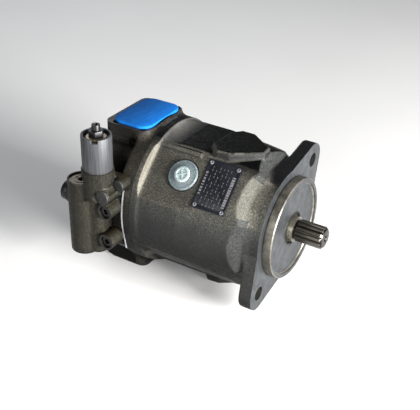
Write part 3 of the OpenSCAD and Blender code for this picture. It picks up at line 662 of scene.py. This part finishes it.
def screw_places():
    y, z = screw_hi.y - SCREW_HEAD_R, screw_hi.z - SCREW_HEAD_R
    return [(sy * y, sz * z) for sy in (-1, 1) for sz in (-1, 1)]


def valve_clearance():
    """The round flange is cut back to the valve's pad, but for a thin rim beside it."""
    return block((BAND_REAR_X - 0.1, -100, CLEAR_Z[0]), (PAD["x"][1] - PAD_RIM, PAD["y"], CLEAR_Z[1]))


def make_housing():
    low = (house_lo.x - 2, -BODY_R, -BODY_R)
    high = (3, BODY_R, BODY_R)
    obj = casting("housing_casting", low, high, 0.9, housing_field)
    cut(obj, block((0, -90, -90), (10, 90, 90)), block((house_lo.x - 8, -90, -90), (house_lo.x, 90, 90)))
    r, h = pilot["r_mm"], pilot["length_mm"]
    neck = r - PILOT_NECK
    outline = [(-6, 0), (-6, r - 8), (-0.5, r - 8), (-0.5, neck), (1.4, neck), (1.4, r), (h - PILOT_EDGE, r),
               (h, r - PILOT_EDGE), (h, 0)]
    combine(obj, lathe(outline), "UNION")
    floor = h - RECESS
    cut(obj,
        lathe([(floor, 0), (floor, RECESS_R - 1), (floor + 1, RECESS_R), (h + 1, RECESS_R), (h + 1, 0)]),
        rod((seal_lo.x - 0.2, 0, 0), X_AXIS, 20, seal_hi.z),
        rod((front_hi.x - 1, 0, 0), X_AXIS, 3, 15),
        rod((front_lo.x - 8, 0, 0), X_AXIS, front_hi.x - front_lo.x + 8, front_hi.z, 96),
        rod((house_lo.x - 4, 0, 0), X_AXIS, CAVITY_X - house_lo.x + 4, CAVITY_R, 96),
        block((-70, -SIDE_Y, -SIDE_POCKET_R), (POCKET_X, SIDE_Y, SIDE_POCKET_R)),
        rod((PIVOT_X, 0, -CRADLE_Z), (0, 0, 1), 2 * CRADLE_Z, CRADLE_R, 96))
    for side in (-1, 1):
        cut(obj, rod((house_lo.x - 4, side * SIDE_Y, 0), X_AXIS, POCKET_X - house_lo.x + 4, SIDE_POCKET_R))
        cut(obj, rod(V_AXIS * side * bolts["pcd_mm"] / 2 - X_AXIS * 16, X_AXIS, 20, bolts["hole_r_mm"]))
        cut(obj, *drain_cutters(side))
    for y, z in screw_places():
        cut(obj, rod((house_lo.x - 4, y, z), X_AXIS, SCREW_TAP_DEPTH + 4, SCREW_TAP_R))
    finish_piece(obj, "housing",
                 [PAINTS["cast_iron"], FACE, PILOT, BORE, SHADE, BAND_FRONT_HIGHLIGHT, BLACK_SHADE, RAMP_HIGHLIGHT_FADE, FACET_HIGHLIGHT, COOL_AND_CHAMFER_SHADE])
    paint_housing(obj)
    return obj


def paint_housing(obj):
    """Bores and machined faces, then the painted shade and painted highlights on the casting."""
    centre, normal = face_table(obj)
    x, y, z = centre.T
    nx, ny, nz = normal.T
    r = np.hypot(y, z)
    v, w = (y + z) / R2, (z - y) / R2
    inward = -(ny * y + nz * z) / np.maximum(r, 1e-6)
    set_faces(obj, BORE, (inward > 0.2) & (r < 56) & (x < seal_hi.x))
    set_faces(obj, BORE, (np.abs(nx) > 0.9) & (r < CAVITY_R) & (x < -0.5))
    set_faces(obj, BORE, (np.hypot(np.abs(v) - bolts["pcd_mm"] / 2, w) < bolts["hole_r_mm"] + 0.05) & (x < -0.02))
    set_faces(obj, FACE, (x > -0.02) & (nx > 0.9))
    set_faces(obj, PILOT, (x > 0.02) & (nx <= 0.9) & (r > 40))

    # the upper boss: black painted shade on its top and side, with two painted highlight strips along its edge
    toward = nx * BOSS_SIDE[0] + ny * BOSS_SIDE[1]
    edge = np.abs(polygon_field(x, y, BOSS))
    top = z > 62
    set_faces(obj, BLACK_SHADE, top & (nz > 0.93) & (x < -20))
    # painted highlight on the rear of the top, fading along X into black painted shade
    set_faces(obj, RAMP_HIGHLIGHT_FADE, top & (nz > 0.8) & (x < -103) & (x > BAND_X + 1))
    set_faces(obj, SHADE, (toward > 0.3) & (edge < 2) & top & (nz < 0.5))
    rim = (toward > 0.2) & (edge < 3) & (z > BOSS_TOP - 3) & (np.abs(nz - 0.71) < 0.2)
    # painted shade: the front part of the boss's chamfer is black, except for the two strips set below
    set_faces(obj, SHADE, rim & (x > -50))
    set_faces(obj, FACET_HIGHLIGHT, rim & (((x > -47.5) & (x < -40)) | (x > -36)))

    # the strip beside the nameplate's flat, the band's front and the front chamfers: painted highlights on the strip,
    # the band's front and the chamfer facing the W axis, and painted shade in a darker, cooler grey on the other front
    # chamfers
    set_faces(obj, FACET_HIGHLIGHT, (v > 22) & (v < 28) & (w > FLAT_W + 0.4) & (x < -76) & (x > BAND_X + 4) & (nz > 0.6))
    set_faces(obj, BAND_FRONT_HIGHLIGHT, (nx > 0.42) & (x > BAND_X - 3) & (x < BAND_X + 9) & (w > 0.78 * r))
    slant = (nx > 0.35) & (nx < 0.95) & (x > -40) & (x < -EAR_T) & (r > 50)
    bright = w > BRIGHT_SECTOR * r
    set_faces(obj, COOL_AND_CHAMFER_SHADE, slant & ~bright & ((z > 0) | (y < 0)))
    set_faces(obj, FACET_HIGHLIGHT, slant & bright)

    spot = np.hypot(x - DRAIN_X, v * np.sign(w) - DRAIN_V)
    set_faces(obj, BORE, (spot < SPOT_R + 0.1) & (np.abs(w) < SPOT_W + 0.02) & (np.abs(w) > 40))


# ---- port plate -------------------------------------------------------------------------------------------
suction = mounts["suction_port"]
pressure = mounts["pressure_port"]
PORT_X = suction["pos_m"][0] / MM
PORT_Z = mounts["suction_flange_bolts"]["pos_m"][2] / MM
BAND_REAR_X = -146.0
BLOCK_X = -162.5
BLOCK_L = 49.0
BLOCK_W = 70.0
LOW_BLOCK_W = 86.0
MID_W = 92.0
MID_H = 116.0
PAD = {"x": (-190.0, -137.5), "y": -67.0, "z": (-38.0, 25.0)}
CLEAR_Z = (-42.0, 33.5)         # height of the cut beside the pad
PAD_RIM = 1.7                   # thickness of the rim that stands beside the pad
FAR_X = -220.0                  # well behind the pump, where cutters may start
REAR_BORE_R = 18.0
REAR_BORE_X = -152.0
SCREW_HOLE_R = 5.3
SCREW_SEAT_R = 8.5
SCREW_SEAT_DEPTH = 10.0
GAUGE_R = 5.05
PORT_DEPTH = 50.0
TAP_R = 4.25
TAP_DEPTH = 18.0
SUCTION_TAPS = (30.2, 58.7)
PRESSURE_TAPS = (22.2, 47.6)
GAUGES = [(-152.0, -BLOCK_W / 2, 62.0), (-152.0, -MID_W / 2, 42.0)]
VALVE_SCREWS = {"x": -147.5, "y": -90.0, "seat": -82.0, "z": (10.0, -23.5)}


def port_plate_field(x, y, z):
    r = np.hypot(y, z)
    band = both(r - BODY_R, between(x, BAND_REAR_X, plate_hi.x + 2), 2)
    upper = both(round_box(x - BLOCK_X, y, BLOCK_L / 2, BLOCK_W / 2, 8), between(z, 0, PORT_Z + 2), 1.5)
    lower = both(round_box(x - BLOCK_X, y, BLOCK_L / 2, LOW_BLOCK_W / 2, 8), between(z, -PORT_Z - 2, 0), 1.5)
    middle = both(round_box(y, z, MID_W / 2, MID_H / 2, 10), between(x, plate_lo.x, BAND_REAR_X + 4), 4)
    body = either(either(middle, upper, 5), lower, 5)
    pad = both(between(x, *PAD["x"]), both(between(z, *PAD["z"]), between(y, PAD["y"] - 2, -37), 1), 1)
    body = either(body, pad, 3)
    return either(body, band, 7)


def port_cutters(side, port, taps):
    r = port["dims"]["r_mm"]
    up = Vector((0, 0, side))
    top = Vector((PORT_X, 0, side * PORT_Z))
    tools = [rod(top - up * PORT_DEPTH, up, PORT_DEPTH + 5, r), rod(top - up * 4, up, 9, r + 3.5)]
    for sx in (-1, 1):
        for sy in (-1, 1):
            place = top + Vector((sx * taps[0] / 2, sy * taps[1] / 2, 0)) - up * TAP_DEPTH
            tools.append(rod(place, up, TAP_DEPTH + 5, TAP_R, 32))
    return tools


def make_port_plate():
    low = (plate_lo.x, -BODY_R, -PORT_Z - 2)
    high = (plate_hi.x + 2, BODY_R, PORT_Z + 2)
    obj = casting("port_plate_casting", low, high, 1.0, port_plate_field)
    cut(obj,
        block((plate_hi.x, -90, -90), (plate_hi.x + 10, 90, 90)),
        block((FAR_X, -60, PORT_Z), (-136, 60, 90)),
        block((FAR_X, -60, -90), (-136, 60, -PORT_Z)),
        block((FAR_X, -100, CLEAR_Z[0]), (BAND_REAR_X, PAD["y"], CLEAR_Z[1])),
        valve_clearance(),
        *port_cutters(1, suction, SUCTION_TAPS),
        *port_cutters(-1, pressure, PRESSURE_TAPS),
        rod((REAR_BORE_X, 0, 0), X_AXIS, 30, REAR_BORE_R))
    for side in (-1, 1):
        cut(obj, rod((plate_hi.x - 6, side * SIDE_Y, 0), X_AXIS, 10, 10.05))
    cut(obj, rod((plate_hi.x - 9, SIDE_Y, 0), X_AXIS, 10, 5), rod((plate_hi.x - 6, 0, 39), X_AXIS, 10, 2, 32))
    for y, z in screw_places():
        start = (FAR_X, y, z)
        seat = plate_lo.x + SCREW_SEAT_DEPTH - FAR_X
        cut(obj, rod(start, X_AXIS, 100, SCREW_HOLE_R), rod(start, X_AXIS, seat, SCREW_SEAT_R))
    for z in VALVE_SCREWS["z"]:
        cut(obj, rod((VALVE_SCREWS["x"], PAD["y"] - 6, z), (0, 1, 0), 20, 3.05, 32))
    for x, y, z in GAUGES:
        cut(obj, rod((x, y - 8, z), (0, 1, 0), 20, GAUGE_R, 48))
    finish_piece(obj, "port_plate", [PAINTS["cast_iron_dark"], PAD_PAINT, BORE, RIM_HIGHLIGHT, BLACK_SHADE])
    centre, normal = face_table(obj)
    x, y, z = centre.T
    beside = (z > CLEAR_Z[0] - 0.1) & (z < CLEAR_Z[1] + 0.2) & (y < PAD["y"] + 2.5)
    on_rim = np.abs(x - PAD["x"][1] + PAD_RIM / 2) < PAD_RIM / 2
    set_faces(obj, PAD_PAINT, (y < PAD["y"] + 0.02) & (normal[:, 1] < -0.9) & (x < PAD["x"][1]) & beside)
    # painted highlight: the thin rim beside the pad is painted as a bright line
    set_faces(obj, RIM_HIGHLIGHT, on_rim & (y < PAD["y"] - 0.1) & beside)
    # painted shade: the lowest part of the port block is near black
    set_faces(obj, BLACK_SHADE, (z < -58) & (x < BAND_REAR_X))
    set_faces(obj, BORE, (np.abs(z) > PORT_Z - 0.02) & (np.abs(normal[:, 2]) > 0.9))
    return obj


# ---- control valve ------------------------------------------------------------------------------------------
cap_lo, cap_hi = span("spring_cap")
valve_lo, valve_hi = span("control_valve_body")
CAP = ((cap_lo.x + cap_hi.x) / 2, (cap_lo.y + cap_hi.y) / 2)
CAP_R = (cap_hi.x - cap_lo.x) / 2
CAP_Z = cap_lo.z
SIDE = (-177.5, -84.0)
SIDE_R = 14.2
SIDE_Z = (valve_lo.z, 36.0)
VALVE_BACK = valve_hi.y
PLUGS = [((-149.5, 26.0), -91.0, 8.2, 6.05, 7), ((-140.5, 35.0), -77.0, 6.6, 4.55, 5)]
PLUG_HEADS = (7.3, 5.8)
END_PLUG = (SIDE[0] - 14.4, SIDE[1] + 2, 16.0)


def valve_field(x, y, z):
    def post(centre, low, high, r, soft=1.5):
        return both(np.hypot(x - centre[0], y - centre[1]) - r, between(z, low, high), soft)

    def boss(place, front, r):
        return both(np.hypot(x - place[0], z - place[1]) - r, between(y, front - 2, VALVE_BACK + 2), 0.8)

    def box(xs, ys, zs, soft=2):
        return both(both(between(x, *xs), between(y, *ys), soft), between(z, *zs), soft)

    body = post(SIDE, SIDE_Z[0], SIDE_Z[1] + 2, SIDE_R, 3)
    body = either(body, post(CAP, 20, CAP_Z + 2, CAP_R + 1.2, 2), 2.5)
    body = either(body, post((CAP[0] - 2.5, CAP[1] - 0.5), SIDE_Z[0] + 2, 21, 9.5, 3), 2.5)
    body = either(body, box((-177.5, -155.5), (-84, VALVE_BACK + 2), (-36, 34)), 3)
    body = either(body, box((-185.5, -141.5), (VALVE_BACK - 6, VALVE_BACK + 2), (-36, 23)), 3)
    body = either(body, box((-161, -141), (VALVE_BACK - 8, VALVE_BACK + 2), (14, 42)), 3)
    for z_screw in VALVE_SCREWS["z"]:
        body = either(body, boss((VALVE_SCREWS["x"], z_screw), VALVE_SCREWS["y"], 8.2), 2)
    for place, front, r, _, _ in PLUGS:
        body = either(body, boss(place, front + 3, r), 2)
    end = both(np.hypot(y - END_PLUG[1], z - END_PLUG[2]) - 11, between(x, END_PLUG[0] - 2, END_PLUG[0] + 10), 1.2)
    return either(body, end, 2)


def make_valve_body():
    low = (valve_lo.x - 1, valve_lo.y, valve_lo.z)
    high = (valve_hi.x, VALVE_BACK + 2, CAP_Z + 2)
    obj = casting("valve_casting", low, high, 0.6, valve_field)
    back = Vector((0, 1, 0))
    cut(obj,
        block((-220, VALVE_BACK, -60), (-120, VALVE_BACK + 10, 60)),
        block((-220, -110, CAP_Z), (-120, -50, CAP_Z + 10)),
        rod((SIDE[0], SIDE[1], SIDE_Z[1]), (0, 0, 1), 5, SIDE_R + 0.6, 96),
        rod((SIDE[0], SIDE[1], SIDE_Z[1] - 1.4), (0, 0, 1), 8, 12.6, 96),
        rod((SIDE[0], SIDE[1], SIDE_Z[1] - 14), (0, 0, 1), 20, 8.05),
        rod((CAP[0], CAP[1], -34), (0, 0, 1), 90, 5.03),
        rod((CAP[0], CAP[1], CAP_Z - 8), (0, 0, 1), 12, 11.6))
    for z in VALVE_SCREWS["z"]:
        x, y = VALVE_SCREWS["x"], VALVE_SCREWS["y"]
        cut(obj, rod((x, y - 6, z), back, 6, 9.2), rod((x, y - 2, z), back, 30, 3.3),
            rod((x, y - 2, z), back, 10, 6.4))
    for (x, z), front, r, hole, depth in PLUGS:
        cut(obj, rod((x, front - 12, z), back, 13, r - 0.7), rod((x, front - 1, z), back, depth + 1, hole))
    end = Vector(END_PLUG)
    cut(obj, rod(end - X_AXIS * 6, X_AXIS, 6, 12), rod(end - X_AXIS, X_AXIS, 8, 7.05))
    finish_piece(obj, "control_valve_body", [PAINTS["cast_valve"], SHADE, PAINTS["oiled_plug"]])
    centre, normal = face_table(obj)
    in_bore = np.hypot(centre[:, 0] - SIDE[0], centre[:, 1] - SIDE[1]) < 12.5
    set_faces(obj, PAINTS["oiled_plug"], in_bore & (centre[:, 2] > SIDE_Z[1] - 15) & (centre[:, 2] < SIDE_Z[1] - 0.02))
    # painted shade: black on the screw bosses' front faces around the valve screws
    for z in VALVE_SCREWS["z"]:
        near = np.hypot(centre[:, 0] - VALVE_SCREWS["x"], centre[:, 2] - z) < 8.3
        set_faces(obj, SHADE, near & (centre[:, 1] < VALVE_SCREWS["y"] + 0.02))
    return obj


# ---- small parts ----------------------------------------------------------------------------------------------
def refined(node, width, materials=None, segments=2):
    """The node's own shape with its sharp edges broken by a bevel of that width, in millimetres."""
    obj = bpy.data.objects.new(node + "_part", nodes[node].data.copy())
    bpy.context.scene.collection.objects.link(obj)
    bm = bmesh.new()
    bm.from_mesh(obj.data)
    bmesh.ops.remove_doubles(bm, verts=bm.verts, dist=2e-7)
    bmesh.ops.dissolve_limit(bm, angle_limit=math.radians(0.6), verts=bm.verts, edges=bm.edges)
    bm.to_mesh(obj.data)
    bm.free()
    mod = obj.modifiers.new("edge", "BEVEL")
    mod.width = width * MM
    mod.segments = segments
    mod.limit_method = "ANGLE"
    mod.angle_limit = math.radians(38)
    mod.use_clamp_overlap = True
    evaluated(obj)
    return finish_piece(obj, node, materials or [PAINTS[slot_of_node[node]]], 40)


def make_small_parts():
    for node, width in (
        ("drive_shaft", 0.25), ("spring_cap", 0.5), ("lock_nut", 0.3), ("adjusting_screw", 0.3), ("seal_washer", 0.2),
        ("valve_screws", 0.4), ("valve_end_plug", 0.5), ("blanking_plug", 0.3),
        ("housing_screws", 0.4), ("second_drain_plug", 0.5), ("suction_cover", 0.8),
        ("pressure_cover", 0.8), ("nameplate", 0.15), ("valve_seal", 0.15),
    ):
        refined(node, width)
    refined("seal_retaining_ring", 0.2, [PAINTS["black_steel"]])
    refined("gauge_plugs", 0.3, [PAINTS["cast_valve"]])


def make_side_plugs():
    """Domed discs in the two bosses on the valve's side."""
    height = PLUGS[0][1] - span("valve_side_plugs")[0].y
    discs = None
    for ((x, z), front, _, hole, depth), r in zip(PLUGS, PLUG_HEADS):
        stem = hole - 0.3
        profile = [(1 - depth, 0), (1 - depth, stem), (-1, stem), (-1, r), (height - 0.7, r), (height - 0.2, r - 0.4),
                   (height - 0.05, r - 2.2), (height, 0)]
        one = lathe(profile, (x, front, z), (0, -1, 0), 64)
        if discs is None:
            discs = one
            discs.name = "side_plug_discs"
        else:
            combine(discs, one, "UNION")
    finish_piece(discs, "valve_side_plugs", [COOL_AND_CHAMFER_SHADE], 40)


def make_drain_plug():
    """Flanged plastic plug: domed rim, an inner ring and four ribs in its recess."""
    centre = X_AXIS * DRAIN_X + V_AXIS * DRAIN_V + W_AXIS * SPOT_W
    profile = [(-9, 0), (-9, 6.9), (-8.4, DRAIN_R - 0.35), (-0.4, DRAIN_R - 0.15), (0.05, DRAIN_R), (0.05, 14.3),
               (0.6, 14.8), (2.4, 14.8), (3.1, 14.4), (3.35, 13.4), (3.2, 12.6), (3.3, 11.8), (4.1, 8.6), (4.2, 7.9),
               (4.9, 7.6), (5.15, 7.1), (5.15, 5.4), (4.7, 5.1), (4.6, 0)]
    obj = lathe(profile, centre, W_AXIS)
    obj.name = "drain_plug_moulding"
    for angle in (25, 115):
        a = math.radians(angle)
        along = X_AXIS * math.cos(a) + V_AXIS * math.sin(a)
        side = W_AXIS.cross(along)
        rib = block((0, 0, 0), (1, 1, 1))
        places = [centre + along * s + side * t + W_AXIS * u
                  for s in (-5.3, 5.3) for t in (-0.7, 0.7) for u in (4, 5.1)]
        for vertex, place in zip(rib.data.vertices, places):
            vertex.co = place * MM
        combine(obj, rib, "UNION")
    finish_piece(obj, "drain_plug", [PAINTS["pale_plastic"], PALE_CENTRE], 50)
    places, _ = face_table(obj)
    from_axis = np.linalg.norm(np.cross(places - np.array(centre), np.array(W_AXIS)), axis=1)
    set_faces(obj, PALE_CENTRE, from_axis < 7.8)


def make_rivets():
    """Four rivets with a domed head and a small drive dimple."""
    lo, hi = span("nameplate")
    centre_x = (lo.x + hi.x) / 2
    half_x, half_v = 34.6 / 2 - 3.2, 48.6 / 2 - 3.2
    rivets = None
    for sx in (-1, 1):
        for sv in (-1, 1):
            place = X_AXIS * (centre_x + sx * half_x) + V_AXIS * (0.6 + sv * half_v) + W_AXIS * FLAT_W
            head = [(-3.5, 0), (-3.5, 1.2), (0.7, 1.2), (0.7, 2.1), (1.0, 2.05), (1.35, 1.6), (1.5, 1.0), (1.35, 0.75),
                    (1.0, 0.55), (1.0, 0)]
            one = lathe(head, place, W_AXIS, 32)
            if rivets is None:
                rivets = one
                rivets.name = "plate_rivets"
            else:
                combine(rivets, one, "UNION")
    finish_piece(rivets, "nameplate_rivets", [PAINTS["rivet_steel"]], 40)


def make_plate_marks():
    """Plain bars and fields on the nameplate, in place of any lettering."""
    lo, hi = span("nameplate")
    centre = X_AXIS * ((lo.x + hi.x) / 2) + V_AXIS * 0.6 + W_AXIS * (FLAT_W + 0.7)
    verts, faces = [], []

    def bar(x, v, length_x, length_v, height=0.04):
        base = len(verts)
        for u in (-0.02, height):
            for sx, sv in ((-1, -1), (1, -1), (1, 1), (-1, 1)):
                verts.append(centre + X_AXIS * (x + sx * length_x / 2) + V_AXIS * (v + sv * length_v / 2) + W_AXIS * u)
        for quad in ((3, 2, 1, 0), (4, 5, 6, 7), (0, 1, 5, 4), (1, 2, 6, 5), (2, 3, 7, 6), (3, 0, 4, 7)):
            faces.append(tuple(base + i for i in quad))

    for i in range(8):                                   # a run of blocks along the rear edge
        bar(-14.6, -10 + 3.0 * i, 2.2, 2.0 if i % 3 else 1.2)
    for i in range(13):                                  # a broken strip along the front edge
        bar(13.2, -16.6 + 2.45 * i, 3.2, 2.1 if i % 4 else 1.3)
    for column in range(6):                              # short dashes in columns between them
        for row in range(13):
            if (3 * column + 5 * row) % 7 > 1:
                bar(-10.2 + 3.7 * column, -19.5 + 3.1 * row, 0.45, 1.2 + 0.5 * ((column + row) % 3), 0.02)
    obj = add_object("plate_mark_bars", verts, faces)
    obj.data.materials.append(MARK.material)
    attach(obj, body_of_node["nameplate"])


# ---- camera, light and floor -------------------------------------------------------------------------------------
def aim(obj, place, forward, up):
    """Places obj at place, looking along forward, in metres."""
    forward = Vector(forward).normalized()
    right = forward.cross(Vector(up)).normalized()
    up = right.cross(forward)
    turn = Matrix((right, up, -forward)).transposed()
    obj.matrix_world = Matrix.Translation(place) @ turn.to_4x4()


def make_camera():
    camera = bpy.data.cameras.new("camera")
    camera.lens = 69.0
    camera.sensor_width = 36.0
    camera.clip_start = 0.01
    obj = bpy.data.objects.new("camera", camera)
    bpy.context.scene.collection.objects.link(obj)
    aim(obj, (0.2625, -0.59975, 0.4113), (-0.4293, 0.7418, -0.5151), (-0.2866, 0.4290, 0.8566))
    bpy.context.scene.camera = obj


def softbox(name, place, size, power, colour=(1, 1, 1)):
    light = bpy.data.lights.new(name, "AREA")
    light.shape = "RECTANGLE"
    light.size, light.size_y = size
    light.energy = power
    light.color = colour
    obj = bpy.data.objects.new(name, light)
    bpy.context.scene.collection.objects.link(obj)
    target = Vector((-0.07, 0, 0))
    aim(obj, place, target - Vector(place), (0, 0, 1))


def make_studio():
    lo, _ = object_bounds()
    floor = block((-3000, -3000, lo[2] / MM - 5), (3000, 3000, lo[2] / MM - 0.1))
    floor.name = "studio_floor"
    floor.data.materials.append(floor_paint())
    softbox("key_right", (1.3, -0.24, 0.27), (0.6, 0.45), 125, (1.0, 0.985, 0.96))
    softbox("front_fill", (-0.2, -1.4, 0.5), (1.2, 0.7), 13)
    softbox("rear_rim", (-0.9, 0.7, 0.7), (0.8, 0.5), 3, (0.93, 0.96, 1.0))
    world = bpy.data.worlds.new("studio")
    world.use_nodes = True
    background = world.node_tree.nodes["Background"]
    background.inputs["Color"].default_value = (0.95, 0.97, 1.0, 1)
    background.inputs["Strength"].default_value = 0.24
    bpy.context.scene.world = world
    bpy.context.scene.view_settings.view_transform = "Standard"


make_camera()
make_housing()
make_port_plate()
make_valve_body()
make_small_parts()
make_side_plugs()
make_drain_plug()
make_rivets()
make_plate_marks()
make_studio()
